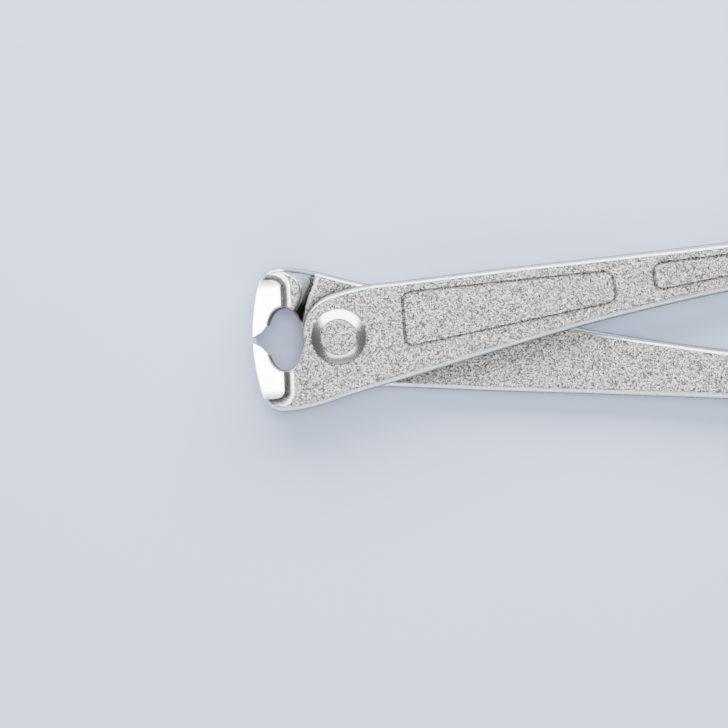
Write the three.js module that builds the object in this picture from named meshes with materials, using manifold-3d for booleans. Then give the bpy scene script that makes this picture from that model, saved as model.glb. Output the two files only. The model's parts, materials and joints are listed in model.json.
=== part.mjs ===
// High-leverage concreters' end-cutting nippers, 300 mm long: two drop-forged steel levers in
// a lap joint, held by one rivet. Both levers are the same forging, and one of them is turned
// half a turn about the tool's long axis.
//
// Row frame, in millimetres: the tool lies on its side, with its jaws at -X, its handles at +X
// and the rivet's axis along Z. The origin is under the middle of the tool, where it rests.
// Inside the tool's own group the origin is the pivot, on the joint's middle plane.
import * as THREE from 'three';
import { mergeVertices } from 'three/addons/utils/BufferGeometryUtils.js';
import Module from 'manifold-3d';

const wasm = await Module();
wasm.setup();

// Driving dimensions
const OVERALL_LENGTH = 300;
const JAW_REACH = 23.3; // from the pivot to the cutting edges
const JAW_WIDTH = 23; // over the ground side flats of the jaws
const JOINT_THICKNESS = 17; // both lapped halves together
const LAP_GAP = 0.3; // between the two lap faces
const EDGE_GAP = 1.36; // between the two cutting edges as the tool rests
const DRAFT_SLOPE = 0.141; // forging draft of 8 degrees: inset per millimetre of height
const SHOULDER_SLOPE = 0.31; // lean of the wall behind the lap joint
const BOSS = { x: 1.6, y: 0.9, radius: 11.4, startAngle: 1.9, endAngle: 3.33 };
const BORE_RADIUS = 5.3;
const SHANK_RADIUS = 5;
const HEAD_RADIUS = 7.4;
const HEAD_FLAT_RADIUS = 4.85;
const HEAD_RIM = 0.35; // height of the head's straight rim
const HEAD_RISE = 1.6; // height of the head's flat above the lever's face
const HEAD_CLEARANCE = 0.3; // room under the head
const GROOVE_DEPTH = 0.3; // of the lines that frame the two blank panels
const GROOVE_WIDTH = 0.7;
const PANEL_ROUND = 3;

const HALF_JOINT = JOINT_THICKNESS / 2;
const HALF_JAW = JAW_WIDTH / 2;
const LAP_FACE = LAP_GAP / 2;
const HANDLE_END = OVERALL_LENGTH - JAW_REACH;
const FAR = 40; // well past the head on every side
const ROUND_STEPS = 48;

// The handle in plan at a few stations along X: the Y of its middle line, and its width
const HANDLE_STATIONS = [
  { x: 17.3, y: 1.2, width: 26.8 },
  { x: 44.5, y: 5.8, width: 22 },
  { x: 72, y: 10.1, width: 17.4 },
  { x: 105, y: 14.5, width: 13.8 },
  { x: 145, y: 19.2, width: 12 },
  { x: 195, y: 23, width: 11.6 },
  { x: 240, y: 23.6, width: 12.4 },
];
const GRIP_END = { x: HANDLE_END - 5.8, y: 22.2, radius: 5.8 };

// The lever from the side, as X and Z: its outer face, and its inner face on the way back
const FACE_BREAK = 54; // where the outer face leaves the joint's height
const OUTER_SLOPE = [
  [80, 7.2],
  [108, 5],
  [145, 4.2],
  [200, 4.1],
  [HANDLE_END + 1, 3.8],
];
const INNER_SLOPE = [
  [HANDLE_END + 1, -3.8],
  [200, -4.1],
  [145, -4.2],
  [112, -3.7],
  [94, -2.1],
  [79, LAP_FACE],
];

// The jaw's ground side flat is an island that stands proud of the forging's face
const ISLAND = { end: -15.1, slopeFoot: -14, rampFoot: -12.9, rampRise: 0.5 };
const ISLAND_OUTER_END = { top: 16.4, foot: 18.4 };

// The jaw in plan: its rounded front face, its cutting bevel, and the bowl behind the edge
const FRONT_FACE_BULGE = [-23.1, -9];
const FRONT_FACE_FOOT = [-20.6, -17];
const FRONT_FACE_RUN_OUT = [-13.4, -FAR];
const CUTTING_BEVEL = [-20.7, -2.1];
const BOWL = { x: -14.7, halfLength: 5.1, halfWidth: 8.5, edgeAngle: 3.62, bossAngle: 5.27 };

// The corners of the two framed panels in plan, on the lever's outer face
const LONG_PANEL = [
  [17.2, 11.5],
  [17.7, -4.1],
  [76.4, 6.1],
  [75.2, 15.2],
];
const SHORT_PANEL = [
  [86.2, 8.4],
  [112.2, 12.6],
  [111.6, 18.6],
  [85.8, 16.6],
];

const vectors = (points) => points.map(([x, y]) => new THREE.Vector2(x, y));

function solidFrom(geometry) {
  const bare = geometry.clone();
  bare.deleteAttribute('normal');
  bare.deleteAttribute('uv');
  const welded = mergeVertices(bare);
  const vertProperties = new Float32Array(welded.attributes.position.array);
  const triVerts = new Uint32Array(welded.index.array);
  return new wasm.Manifold(new wasm.Mesh({ numProp: 3, vertProperties, triVerts }));
}

function geometryFrom(solid) {
  const { vertProperties, triVerts } = solid.getMesh();
  const geometry = new THREE.BufferGeometry();
  geometry.setAttribute('position', new THREE.BufferAttribute(vertProperties, 3));
  geometry.setIndex(new THREE.BufferAttribute(triVerts, 1));
  const faceted = geometry.toNonIndexed();
  faceted.computeVertexNormals();
  return faceted;
}

// A straight prism on a plan outline, tall enough to pass through the whole tool
function planPrism(shape) {
  const options = { depth: 2 * FAR, bevelEnabled: false, curveSegments: 8 };
  const geometry = new THREE.ExtrudeGeometry(shape, options);
  return solidFrom(geometry.translate(0, 0, -FAR));
}

// A prism whose outline is drawn in X and Z and that runs across the tool
function sidePrism(points) {
  const shape = new THREE.Shape(vectors(points));
  const geometry = new THREE.ExtrudeGeometry(shape, { depth: 2 * FAR, bevelEnabled: false });
  return solidFrom(geometry.rotateX(Math.PI / 2).translate(0, FAR, 0));
}

// A prism whose outline is drawn in Y and Z and that runs along the tool
function endPrism(points) {
  const shape = new THREE.Shape(vectors(points));
  const geometry = new THREE.ExtrudeGeometry(shape, { depth: HANDLE_END + 2 * FAR, bevelEnabled: false });
  return solidFrom(geometry.rotateX(Math.PI / 2).rotateZ(Math.PI / 2).translate(-FAR, 0, 0));
}

// A body whose walls lean in above and below the plane Z = 0, by slope for each unit of height
function leaningBody(shape, halfHeight, slope, curveSegments) {
  const waist = 0.02;
  const geometry = new THREE.ExtrudeGeometry(shape, {
    depth: waist,
    bevelThickness: halfHeight,
    bevelSize: halfHeight * slope,
    bevelOffset: -halfHeight * slope,
    bevelSegments: 1,
    curveSegments,
  });
  return solidFrom(geometry.translate(0, 0, -waist / 2));
}

// The forging's outline at its parting plane. Its front runs on past the jaw and its bowl is
// still filled, because the ground faces are cut later.
function forgingPlan() {
  const shape = new THREE.Shape();
  const lowerEdge = HANDLE_STATIONS.map(({ x, y, width }) => [x, y - width / 2]);
  const upperEdge = HANDLE_STATIONS.map(({ x, y, width }) => [x, y + width / 2]).reverse();
  const jawFlank = [
    [-11.2, -19.5],
    [-5.6, -18.4],
    [4, -15.6],
  ];
  const bossShoulder = [
    [10, 14.15],
    [4.6, 13.35],
    [0.8, 12.5],
    [-2.1, 11.7],
  ];
  shape.moveTo(-FAR, 4);
  shape.lineTo(-FAR, -8);
  shape.lineTo(-21.6, -16);
  shape.quadraticCurveTo(-19.7, -19.7, -15.4, -19.8);
  shape.splineThru(vectors([...jawFlank, ...lowerEdge, [GRIP_END.x, GRIP_END.y - GRIP_END.radius]]));
  shape.absarc(GRIP_END.x, GRIP_END.y, GRIP_END.radius, -Math.PI / 2, Math.PI / 2, false);
  shape.splineThru(vectors([...upperEdge, ...bossShoulder]));
  shape.absarc(BOSS.x, BOSS.y, BOSS.radius, BOSS.startAngle, BOSS.endAngle, false);
  shape.lineTo(-10.8, -5.4);
  shape.lineTo(-11.6, -6.8);
  shape.lineTo(-13.4, -6.8);
  shape.lineTo(-13.4, 4);
  shape.closePath();
  return shape;
}

// What the jaw keeps behind its front face, below its cutting edge and outside its bowl
function groundJawPlan() {
  const { x, halfLength, halfWidth, bossAngle, edgeAngle } = BOWL;
  const shape = new THREE.Shape();
  shape.moveTo(-JAW_REACH, -EDGE_GAP / 2);
  shape.quadraticCurveTo(...FRONT_FACE_BULGE, ...FRONT_FACE_FOOT);
  shape.lineTo(...FRONT_FACE_RUN_OUT);
  shape.lineTo(HANDLE_END + FAR, -FAR);
  shape.lineTo(HANDLE_END + FAR, FAR);
  shape.lineTo(-12, FAR);
  shape.lineTo(-12, -1);
  shape.absellipse(x, 0, halfLength, halfWidth, bossAngle, edgeAngle, true);
  shape.lineTo(...CUTTING_BEVEL);
  shape.closePath();
  return shape;
}

// The foot of the shoulder, and everything behind it that the other lever's boss turns in
function shoulderPlan() {
  const shape = new THREE.Shape();
  shape.moveTo(FAR, -FAR);
  shape.lineTo(-5.6, -FAR);
  shape.lineTo(-6.3, -17);
  shape.quadraticCurveTo(-8, -13.6, -9.1, -10.4);
  shape.quadraticCurveTo(-10.2, -7.2, -10.9, -3.5);
  shape.lineTo(-13, 5);
  shape.lineTo(-13, FAR);
  shape.lineTo(FAR, FAR);
  shape.closePath();
  return shape;
}

function sideProfile() {
  const { end, slopeFoot, rampFoot, rampRise } = ISLAND;
  const outerIsland = [
    [-FAR, HALF_JAW],
    [end, HALF_JAW],
    [slopeFoot, HALF_JOINT + rampRise],
    [rampFoot, HALF_JOINT],
  ];
  const innerIsland = outerIsland.map(([x, z]) => [x, -z]).reverse();
  const lapEnd = FAR / 2; // anywhere behind the shoulder, because the joint's room is cut later
  return [
    [FACE_BREAK, HALF_JOINT],
    ...OUTER_SLOPE,
    ...INNER_SLOPE,
    [lapEnd, LAP_FACE],
    [lapEnd, -HALF_JOINT],
    ...innerIsland,
    ...outerIsland,
  ];
}

function jawEndProfile() {
  const { top, foot } = ISLAND_OUTER_END;
  const upper = [
    [FAR, HALF_JAW],
    [-top, HALF_JAW],
    [-foot, HALF_JOINT],
    [-FAR, HALF_JOINT],
  ];
  return [...upper, ...upper.map(([y, z]) => [y, -z]).reverse()];
}

// The space behind the lap plane, clear of the shoulder
function jointRoom() {
  const wholeRoom = leaningBody(shoulderPlan(), HALF_JAW + LAP_GAP, -SHOULDER_SLOPE, 6);
  const behind = new THREE.BoxGeometry(4 * FAR, 4 * FAR, 2 * FAR).translate(0, 0, LAP_FACE - FAR);
  return wholeRoom.intersect(solidFrom(behind));
}

// A four-sided outline with rounded corners, drawn a little inside its corner points
function roundedPanel(corners, inset) {
  const shape = new THREE.Shape();
  const round = PANEL_ROUND - inset;
  const towards = (from, to) => to.clone().sub(from).normalize();
  const pulledIn = vectors(corners).map((corner, i, all) => {
    const along = towards(corner, all.at(i - 1)).add(towards(corner, all[(i + 1) % all.length]));
    return corner.clone().addScaledVector(along, inset);
  });
  pulledIn.forEach((corner, i, all) => {
    const start = corner.clone().addScaledVector(towards(corner, all.at(i - 1)), round);
    const end = corner.clone().addScaledVector(towards(corner, all[(i + 1) % all.length]), round);
    if (i === 0) {
      shape.moveTo(start.x, start.y);
    } else {
      shape.lineTo(start.x, start.y);
    }
    shape.quadraticCurveTo(corner.x, corner.y, end.x, end.y);
  });
  shape.closePath();
  return shape;
}

// The line round each panel, down to a floor that follows the lever's outer face
function panelGrooves() {
  const face = [[0, HALF_JOINT], [FACE_BREAK, HALF_JOINT], ...OUTER_SLOPE];
  const floor = sidePrism([
    ...face.map(([x, z]) => [x, z - GROOVE_DEPTH]),
    [HANDLE_END + 1, -FAR],
    [0, -FAR],
  ]);
  const [long, short] = [LONG_PANEL, SHORT_PANEL].map((corners) =>
    planPrism(roundedPanel(corners, 0)).subtract(planPrism(roundedPanel(corners, GROOVE_WIDTH))),
  );
  return long.add(short).subtract(floor);
}

// One lever as it lies in front: upper handle, front half of the joint, lower jaw
function leverSolid() {
  const bore = new THREE.CylinderGeometry(BORE_RADIUS, BORE_RADIUS, 2 * FAR, ROUND_STEPS);
  return leaningBody(forgingPlan(), HALF_JAW, DRAFT_SLOPE, 4)
    .intersect(sidePrism(sideProfile()))
    .intersect(endPrism(jawEndProfile()))
    .intersect(planPrism(groundJawPlan()))
    .subtract(jointRoom())
    .subtract(solidFrom(bore.rotateX(Math.PI / 2)))
    .subtract(panelGrooves());
}

// The rivet: a shank through both halves, and a formed head on each side
function rivetGeometry() {
  const under = HALF_JOINT + HEAD_CLEARANCE;
  const top = HALF_JOINT + HEAD_RISE;
  const upper = [
    [SHANK_RADIUS, under],
    [HEAD_RADIUS, under],
    [HEAD_RADIUS, under + HEAD_RIM],
    [HEAD_FLAT_RADIUS, top],
    [0, top],
  ];
  const lower = upper.map(([r, z]) => [r, -z]).reverse();
  return new THREE.LatheGeometry(vectors([...lower, ...upper]), ROUND_STEPS).rotateX(Math.PI / 2);
}

const platedForging = new THREE.MeshStandardMaterial({ color: 0xc9c9c6, roughness: 0.45, metalness: 1 });
const platedRivet = new THREE.MeshStandardMaterial({ color: 0xd0d0cd, roughness: 0.4, metalness: 1 });

function namedMesh(name, geometry, material) {
  const mesh = new THREE.Mesh(geometry, material);
  mesh.name = name;
  return mesh;
}

const leverGeometry = geometryFrom(leverSolid());
const frontLever = namedMesh('front_lever', leverGeometry, platedForging);
const backLever = namedMesh('back_lever', leverGeometry, platedForging);
backLever.rotation.x = Math.PI;

const tool = new THREE.Group();
tool.add(frontLever, backLever, namedMesh('joint_rivet', rivetGeometry(), platedRivet));
tool.position.set(JAW_REACH - OVERALL_LENGTH / 2, 0, HALF_JAW);

const group = new THREE.Group();
group.add(tool);

export default group;
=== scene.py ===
"""Concreters' end-cutting nippers, 300 mm long: two drop-forged levers and the rivet that joins them.

The plan of the lever is drawn in millimetres in the tool's frame: the pivot is the origin, the
handles run towards +X, and Z is the rivet's axis, with 0 where the two lapped halves meet. The
finished meshes are in metres in the row frame, where the tool lies on its side on the floor.
"""
import json
import math

import bpy
import numpy as np
from bpy.props import FloatProperty, FloatVectorProperty, IntProperty, PointerProperty
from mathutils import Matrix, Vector
from mathutils.geometry import delaunay_2d_cdt
from mathutils.kdtree import KDTree


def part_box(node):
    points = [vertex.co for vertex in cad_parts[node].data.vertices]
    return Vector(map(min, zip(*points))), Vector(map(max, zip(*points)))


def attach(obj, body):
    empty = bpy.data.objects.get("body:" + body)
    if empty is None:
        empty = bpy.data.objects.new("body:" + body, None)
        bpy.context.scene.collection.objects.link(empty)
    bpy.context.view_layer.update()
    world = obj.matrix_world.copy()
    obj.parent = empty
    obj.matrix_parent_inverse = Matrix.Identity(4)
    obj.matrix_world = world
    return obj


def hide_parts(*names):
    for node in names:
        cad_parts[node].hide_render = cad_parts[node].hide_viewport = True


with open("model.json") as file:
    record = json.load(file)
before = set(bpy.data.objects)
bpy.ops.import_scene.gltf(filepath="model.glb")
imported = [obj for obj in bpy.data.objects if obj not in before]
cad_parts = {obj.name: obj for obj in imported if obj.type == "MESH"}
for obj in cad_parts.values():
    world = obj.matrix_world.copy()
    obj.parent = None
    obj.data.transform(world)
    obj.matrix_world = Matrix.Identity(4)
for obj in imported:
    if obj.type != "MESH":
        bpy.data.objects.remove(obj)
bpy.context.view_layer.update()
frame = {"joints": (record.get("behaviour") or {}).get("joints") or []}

bl_info = {
    "name": "End-Cutting Nippers",
    "version": (1, 0, 0),
    "blender": (4, 5, 0),
    "location": "3D View > Sidebar > Nippers",
    "description": "Builds forged and plated end-cutting nippers around a fixed frame",
    "category": "Add Mesh",
}

MM = 0.001

# Places and sizes that the frame gives, in millimetres in the tool's frame
PIVOT = Vector(frame["joints"][0]["pos_m"])
LEVER_HIGH = (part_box("front_lever")[1] - PIVOT) / MM
RIVET_HIGH = (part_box("joint_rivet")[1] - PIVOT) / MM
HALF_JAW = LEVER_HIGH.z
HANDLE_END = LEVER_HIGH.x
HEAD_TOP = RIVET_HIGH.z

# The lever's other sizes, in millimetres
HALF_JOINT = 8.5
LAP_FACE = 0.04
BORE_RADIUS = 5.3
FACE_INSET = {"forged": 0.4, "boss_front": 0.15, "ground": 0.02}  # from the parting line in to the face
EDGE_RADIUS = {
    "head": 1.15,
    "boss_front": 0.45,
    "front_face": 0.12,
    "bevel_root": 0.1,
    "cutting_edge": 0.06,
}
FLASH_CREST = 0.132  # from the parting line to the rim of the flash's crest
FLASH_TOE = 0.352  # and to its toe on the wall
BOWL = {"x": -14.7, "half_length": 5.1, "half_width": 8.5, "boss_angle": 5.12, "edge_angle": 3.62}
BOSS = {"x": 1.6, "y": 0.9, "radius": 11.4, "start": 1.9, "end": 3.33}
GRIP_END = {"x": HANDLE_END - 5.8, "y": 22.2, "radius": 5.8}
HANDLE_STATIONS = [  # X, the Y of the middle line, and the width in plan
    (17.3, 1.2, 26.8),
    (44.5, 5.8, 22.0),
    (72.0, 10.1, 17.4),
    (105.0, 14.5, 13.8),
    (145.0, 19.2, 12.0),
    (195.0, 23.0, 11.6),
    (240.0, 23.6, 12.4),
]
TIP = (-23.3, -0.68)
FRONT_FACE_BULGE = (-23.1, -9.0)
FRONT_FACE_FOOT = (-20.6, -17.0)
FRONT_FACE_SHARE = 0.95  # of that curve, before the forged corner begins
JAW_CORNER = (-19.9, -19.75)
CUTTING_BEVEL = (-20.7, -2.1)
CORNER_FADE = 0.9  # in X, from the ground front face to the forged corner's full inset
JAW_FLANK = [(-15.4, -19.8), (-11.2, -19.5), (-5.6, -18.4), (4.0, -15.6)]
BOSS_SHOULDER = [(10.0, 14.15), (4.6, 13.35), (0.8, 12.5)]
BOSS_FLANK = [(-10.5, -3.8), (-11.35, -6.2)]

# Values that change along the outline: the X of each, then the value there
OUTLINE_SPACING = [(-6, 10, 60, 110), (0.26, 0.5, 0.9, 1.8)]
FORGED_RADIUS = [(20, 60, 110, 200), (EDGE_RADIUS["head"], 1.2, 1.6, 1.9)]
BOSS_INSET = [(-9.6, -4), (FACE_INSET["boss_front"], FACE_INSET["forged"])]
BOSS_RADIUS = [(-9.6, -1), (EDGE_RADIUS["boss_front"], EDGE_RADIUS["head"])]
BOWL_INSET = [(-19.2, -17), (0.03, 0.2)]
BOWL_RADIUS = [(-19.2, -17), (0.1, 0.3)]
GRIP_SPACING = 0.45

# Heights of the lever's outer and inner face along X, and how far their bends are rounded
OUTER_FACE = [
    (-40, HALF_JOINT),
    (54, HALF_JOINT),
    (80, 7.2),
    (108, 5.0),
    (145, 4.2),
    (200, 4.1),
    (280, 3.8),
]
INNER_FACE = [
    (-40, LAP_FACE),
    (79, LAP_FACE),
    (94, -2.1),
    (112, -3.7),
    (145, -4.2),
    (200, -4.1),
    (280, -3.8),
]
OUTER_ROUND = 7.0
INNER_ROUND = 5.0

# The ground side flat of the jaw stands proud: its border in plan, and its rise going outwards
ISLAND = {"inner_x": -15.1, "outer_y": -16.2, "corner": 2.4, "outer_stretch": 0.1, "ground_fade": 3.0}
ISLAND_RISE = [(0.0, HALF_JAW - HALF_JOINT), (1.15, 0.22), (2.2, 0.0)]
ISLAND_ROUND = 0.16
ISLAND_ROWS = (-0.5, -0.25, -0.08, 0.08, 0.25, 0.6, 0.95, 1.2, 1.45, 1.9, 2.3, 2.7)  # from its border
RAMP = (1.1, 2.4)  # the lower part of the rise, which the tumbling has rubbed

# The shoulder behind the lap joint: X of its crest and of its foot, by distance from the middle
SHOULDER_CREST = [
    (3.0, -14.2),
    (5.5, -12.9),
    (7.9, -11.5),
    (9.8, -10.4),
    (11.7, -9.6),
    (13.4, -9.5),
    (15.3, -9.9),
    (16.7, -11.1),
    (17.5, -12.7),
    (19.0, -16.0),
]
SHOULDER_FOOT = [
    (2.0, -11.1),
    (3.5, -10.9),
    (6.5, -10.1),
    (9.2, -9.5),
    (10.6, -8.9),
    (12.7, -8.0),
    (14.9, -6.9),
    (16.8, -6.4),
    (19.0, -5.6),
]
SHOULDER_ROUND = 0.75
SHOULDER_PLAN_ROUND = 0.7  # of the crest's and the foot's lines
FAR = 40.0  # further than any point of the head lies from another

# Painted shade on the lap face, for the shadow round the joint: how far it reaches past the other lever's
# edge, and how dark it is along X. In the shoulder's wedge it fades out towards the outer end.
SHADE_REACH = 3.6
SHADE_ALONG = [(-4, 2, 22, 40), (1.0, 0.85, 0.3, 0.0)]
SHADE_WEDGE_END = 13.0
SHADE_WEDGE_FADE = 4.0
SHADE_PAST_FOOT = 1.8
SHADE_ON_FOOT = 0.5
SHADED_FOOT = (-0.7, 0.2)  # past the shoulder's foot

# How dark the painted shade is in the engraved lines, round the rivet's head and at the flat's outer end
PAINTED_SHADE_STRENGTH = {"groove": 0.68, "rivet_seat": 0.6, "flat_end": 0.95}
FLAT_END_SHADE = (-0.15, 0.65)  # out from the flat's border

# Share of tumbling polish on what stands proud, and where it lies on the shoulder.
# On the wall's outer end the polish is also a painted highlight that lightens the wall
POLISH = {"ramp": 0.8, "crest": 0.9, "outer_end_wear_and_highlight": 0.4, "past_foot": 0.5}
RUBBED_CREST = (-0.7, 0.4)  # behind the crest
RUBBED_PAST_FOOT = (0.8, 1.6)
OUTER_END_FROM = 10.5
OUTER_END_FADE = 2.5

MASK_EDGE = 0.2  # over which a band of a mask falls to 0
GROUND_EDGE = 0.3  # over which the ground flat's shine falls to 0 at its border

# The engraved lines round the two blank panels
LONG_PANEL = [(17.2, 11.5), (17.7, -4.1), (76.4, 6.1), (75.2, 15.2)]
SHORT_PANEL = [(86.2, 8.4), (112.2, 12.6), (111.6, 18.6), (85.8, 16.6)]
PANEL_ROUND = 3.0
GROOVE_SPACING = 0.35
GROOVE_FLANK = 1.25  # where the line's flank ends, in half widths of the line
GROOVE_ROWS = (-2.1, -1.7, -1.35, -1, -0.7, -0.35, 0, 0.35, 0.7, 1, 1.35, 1.7, 2.1)  # in half widths

# The rivet, in millimetres
SHANK_RADIUS = 5.0
HEAD_RADIUS = 7.4
HEAD_FLAT_RADIUS = 4.85
HEAD_RIM = 0.35  # height of the upright rim below the bevel
HEAD_CROWN = 0.4  # share of the bevel's rise that is rounded: steep at the rim, level beside the flat
HEAD_STEP = 0.14  # from the bevel up to the flat
FLAT_ROUND = ((0.1, 0.02), (0.25, 0.0))  # in from the flat's edge, and down from its top
HEAD_SEAT = 0.03  # height of the head's underside above the lever's face
SEAT_STEPS = (-0.3, 0.0, 0.25, 0.5, 0.9)  # from the head's rim to the rows of points round it
SEAT_SHADE = (HEAD_RADIUS - 1, HEAD_RADIUS + 0.2)  # where shadow is painted on the face round the head

# Rows of the rounded edge, from the face out to the wall: shares of polish, of dullness and of painted
# shade, which draws a thin dark line where the face meets the edge. The waist is the flash along the
# parting line.
EDGE_POLISH = (0.0, 0.62, 0.82, 0.82, 0.62, 0.0)
EDGE_DULLNESS = (0.0, 0.0, 0.07, 0.15, 0.36, 1.0)
EDGE_PAINTED_SHADE = (0.35, 0.0, 0.0, 0.0, 0.0, 0.0)
# How much the flash along the parting line is darkened
WAIST_DARKENING = 0.4
SHELF_STEPS = (0.25, 0.6)  # from the rounded edge in to the first rows of points on the face
EDGE_SETTLE = 0.6  # share of the edge radius at which the face's height is first read
PARTING_WINDOW = 31  # points over which the parting line's height is smoothed

# The face's field of points: from this X to that one, and how far apart
FIELD_STEPS = ((-24, 3, 0.55), (3, 22, 0.9), (22, 90, 1.5), (90, 278, 2.2))
ROW_SPACING = 0.3
FLAT_END_SPACING = 0.35
ROW_CLEARANCE = 0.15
BORE_CLEARANCE = 0.2
BORE_SLACK = 0.05  # between the bore's circle and the middles of its chords
FIELD_CLEARANCE = 0.55  # in steps of the field

# Sizes and depths of the marks on the surfaces, in millimetres
DIMPLE_SPACING = 0.28
DIMPLE_DEPTH = 0.13
GRIT_SIZE = 0.3
GRIT_SHARE = 0.4  # of a dimple's depth
SMOOTH_HEIGHT = 0.6  # of a surface without dimples, between their rims and their bottoms
GLINT = {"To Min": 0.16, "To Max": 2.25}  # painted glint: the darkest and brightest dimple, as shares of the zinc's colour
WAVE_SIZE = 6
WAVE_DEPTH = 0.25
GRINDING_SPACING = 0.15
GRINDING_DEPTH = 0.01
MOTTLE_SIZE = 40
# The painted shadow line round the rivet's flat: its half width and how dark it is
PUNCH_LINE_HALF_WIDTH = 0.09
PUNCH_LINE_SHADE = 0.75

# Roughness of each finish. The forging's varies between two values with its waves
FORGED_ROUGHNESS = {"To Min": 0.3, "To Max": 0.38}
GROUND_ROUGHNESS = 0.25
DULL_ROUGHNESS = 0.62
RIVET_ROUGHNESS = {"To Min": 0.34, "To Max": 0.22}  # on the flat, and on the bevel
LAMINATE_ROUGHNESS = 0.8

# The stage. The camera's place is in millimetres from the joint, and the rest is in metres
CAMERA_PLACE = (6.54, -7.62, 748)
CAMERA_ROLL = -2.4  # degrees
FLOOR_SIZE = 6.0
SKY = {"colour": "D6D9E0", "strength": 0.18}
SOFTBOXES = (  # name, place from the joint, size along X and across, watts, colour
    ("overhead_softbox", (0.04, 0.03, 1.1), (0.4, 0.4), 13, "FFFFFF"),
    ("far_softbox", (0.05, 0.58, 0.56), (1.2, 0.62), 24, "FFFFFF"),
    ("near_softbox", (0.05, -0.42, 0.72), (0.8, 0.26), 2.6, "FBFCFF"),
    ("low_softbox", (0.05, -0.8, 0.28), (1.2, 0.3), 5.5, "FBFCFF"),
)


def linear_colour(hex_code):
    """Turn an sRGB hex code into the linear colour that nodes and lights take"""
    channels = [int(hex_code[i:i + 2], 16) / 255 for i in (0, 2, 4)]
    return [c / 12.92 if c <= 0.04045 else ((c + 0.055) / 1.055) ** 2.4 for c in channels]


# ---------------------------------------------------------------- plan curves, in millimetres


def level(value):
    """A spacing, inset or radius that is the same everywhere on a curve"""
    return lambda x: np.full_like(x, value)


def graded(table):
    """A spacing, inset or radius that changes along X as the table says"""
    return lambda x: np.interp(x, *table)


def straight(start, end):
    return np.linspace(start, end, 80)


def bezier(start, control, end, share=1.0):
    """The first share of a curve from start to end that bends towards control"""
    t = np.linspace(0, share, 200)[:, None]
    start, control, end = map(np.array, (start, control, end))
    return (1 - t) ** 2 * start + 2 * t * (1 - t) * control + t ** 2 * end


def arc(x, y, radius_x, radius_y, start, end):
    """Part of an ellipse in closely spaced points, which a slice can thin out"""
    angle = np.linspace(start, end, 400)
    return np.stack([x + radius_x * np.cos(angle), y + radius_y * np.sin(angle)], axis=1)


def circle(radius):
    return arc(0, 0, radius, radius, 0, 2 * math.pi)[:-1]


def spline(points):
    """A smooth curve through the points, which bends as evenly as it can at each of them"""
    p = np.array(points, float)
    p = np.vstack([2 * p[0] - p[1], p, 2 * p[-1] - p[-2]])
    t = np.linspace(0, 1, 60, endpoint=False)[:, None]
    stretches = []
    for a, b, c, d in zip(p, p[1:], p[2:], p[3:]):
        stretches.append(b + t * (c - a) / 2 + t ** 2 * (a - 2.5 * b + 2 * c - d / 2)
                         + t ** 3 * (1.5 * (b - c) + (d - a) / 2))
    return np.vstack(stretches + [p[-2:-1]])


def resampled(curve, spacing):
    """The curve with its points as far apart as spacing(x) says, without its last point"""
    leg = np.linalg.norm(np.diff(curve, axis=0), axis=1)
    middle_x = (curve[1:, 0] + curve[:-1, 0]) / 2
    travelled = np.concatenate([[0], np.cumsum(leg / spacing(middle_x))])
    at = np.linspace(0, travelled[-1], math.ceil(travelled[-1]) + 1)[:-1]
    return np.stack([np.interp(at, travelled, curve[:, i]) for i in (0, 1)], axis=1)


def softened(x, points, reach):
    """Height of a broken line at x, with its corners rounded over reach on both sides"""
    xs, heights = zip(*points)
    return np.mean([np.interp(x + d, xs, heights) for d in np.linspace(-reach, reach, 9)], axis=0)


def outward(loop):
    """Unit vectors that point out of a counter-clockwise loop"""
    along = np.roll(loop, -1, axis=0) - np.roll(loop, 1, axis=0)
    along /= np.linalg.norm(along, axis=1)[:, None]
    return np.stack([along[:, 1], -along[:, 0]], axis=1)


def inside(points, loop):
    """Which points lie inside the loop"""
    result = np.zeros(len(points), bool)
    x, y = points[:, 0], points[:, 1]
    for (ax, ay), (bx, by) in zip(loop, np.roll(loop, -1, axis=0)):
        if ay != by:
            result ^= ((ay > y) != (by > y)) & (x < (bx - ax) * (y - ay) / (by - ay) + ax)
    return result


def nearest_distance(points, targets):
    """How far each point lies from the target nearest to it"""
    tree = KDTree(len(targets))
    for i, (x, y) in enumerate(targets):
        tree.insert((x, y, 0), i)
    tree.balance()
    return np.array([tree.find((x, y, 0))[2] for x, y in points])


# ---------------------------------------------------------------- the forged lever


def handle_edge(side):
    """One long edge of the handle, towards -Y or +Y"""
    return [(x, y + side * width / 2) for x, y, width in HANDLE_STATIONS]


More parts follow.
